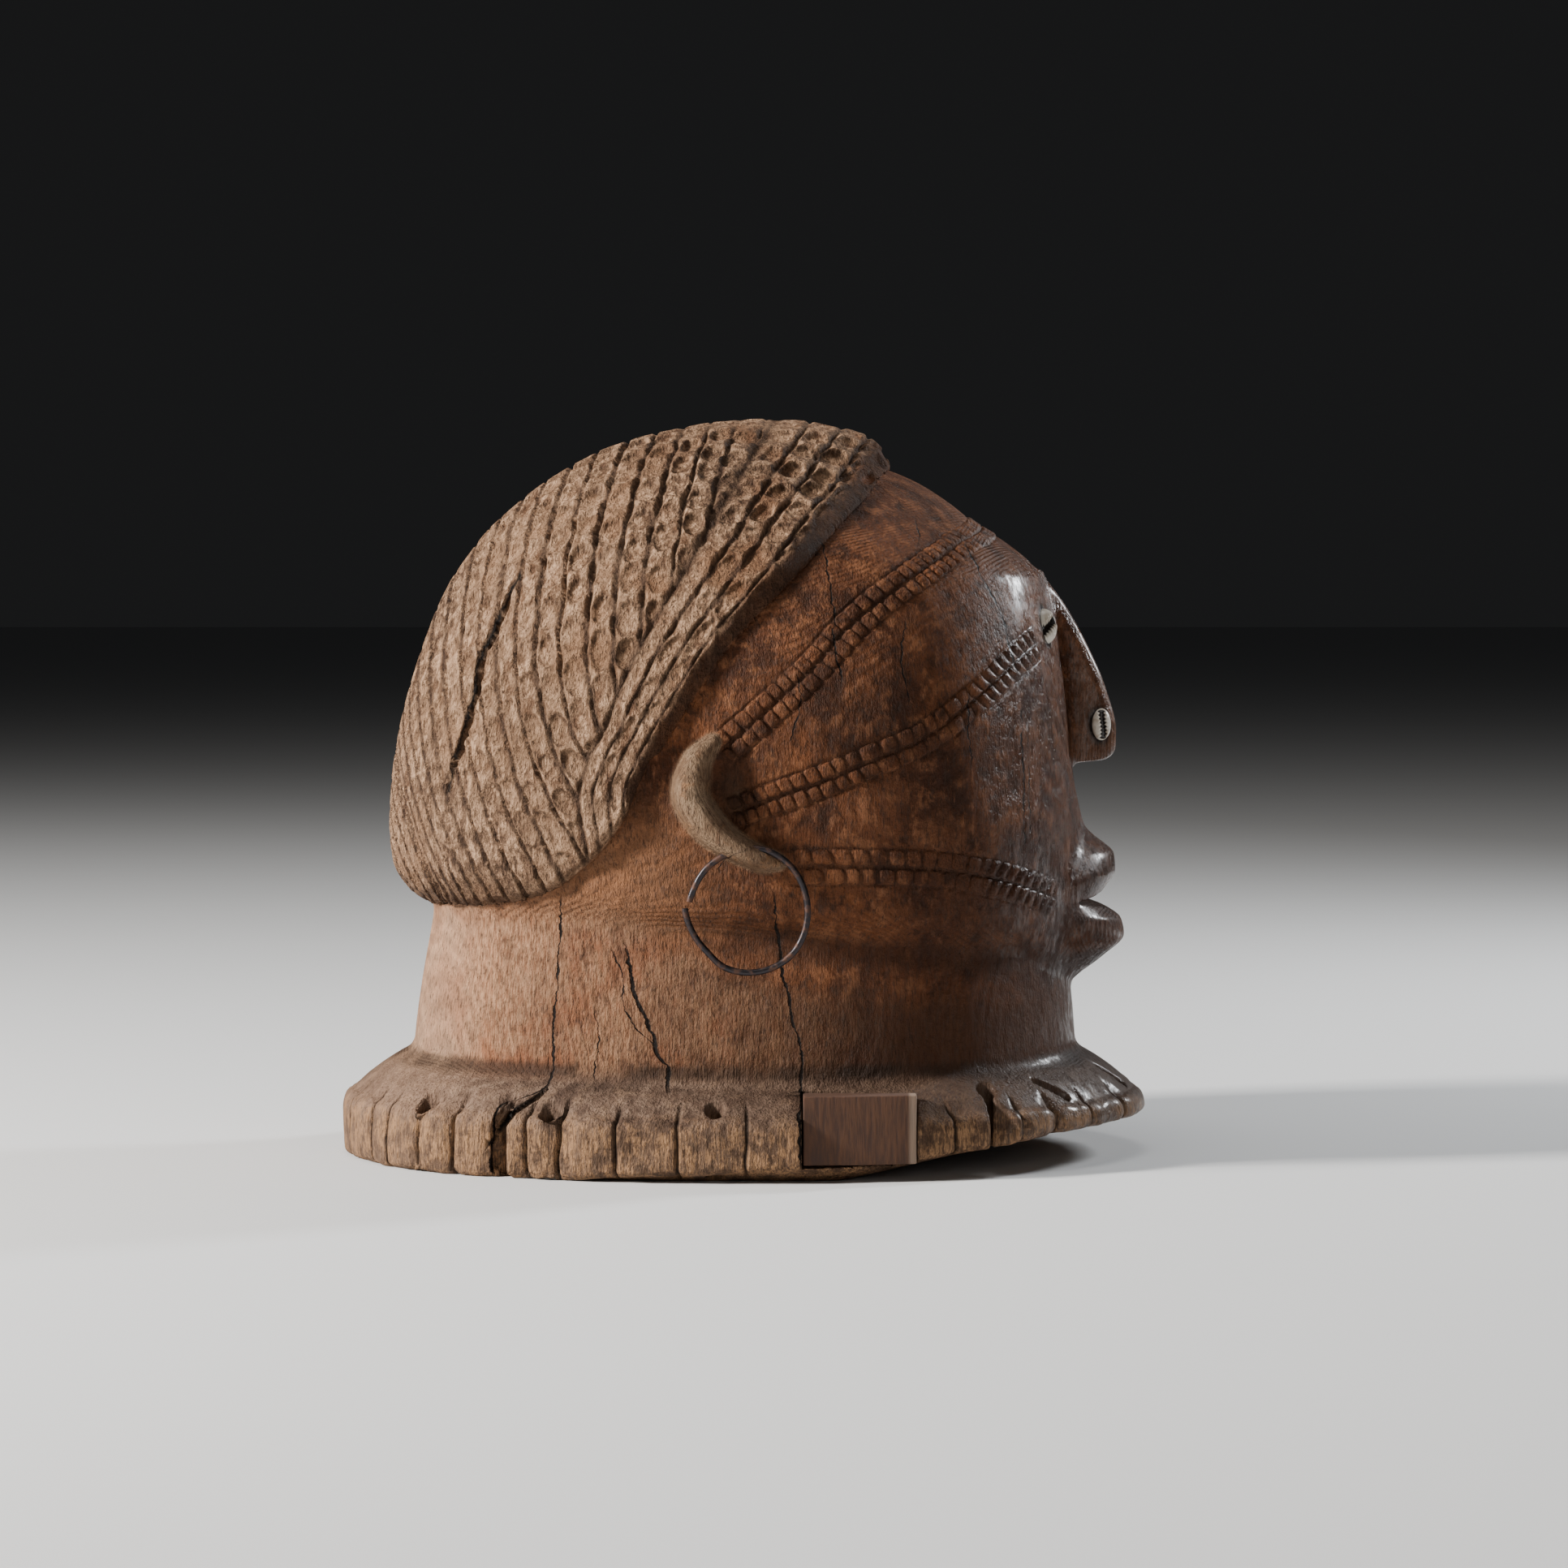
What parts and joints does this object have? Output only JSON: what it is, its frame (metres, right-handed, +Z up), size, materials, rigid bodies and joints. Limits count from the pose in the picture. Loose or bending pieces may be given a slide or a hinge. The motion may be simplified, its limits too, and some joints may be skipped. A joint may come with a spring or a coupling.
{
  "type": "wooden helmet mask",
  "caption": "Hollow carved helmet mask with ridged hair, raised bands of squares, slab nose, full lips, looped ears and a wide oval collar.",
  "frame": {"origin": "on the surface the mask stands on, below the middle of the collar", "axes": "+X the way the face looks, +Z up, the wearer's right side at -Y"},
  "size_m": [0.3526, 0.2852, 0.3212],
  "materials": {
    "old_wood": "worn dry carved hardwood with a darker rubbed face",
    "repair_wood": "plain sawn wood, unworn",
    "iron_wire": "dark forged wire",
    "shell": "off-white shell, faintly glossy"
  },
  "bodies": {
    "root": {"helmet": "old_wood", "collar_inset": "repair_wood", "right_ear_ring": "iron_wire", "left_ear_ring": "iron_wire", "right_eye_shell": "shell", "left_eye_shell": "shell", "right_nose_shell": "shell", "left_nose_shell": "shell"}
  },
  "joints": []
}
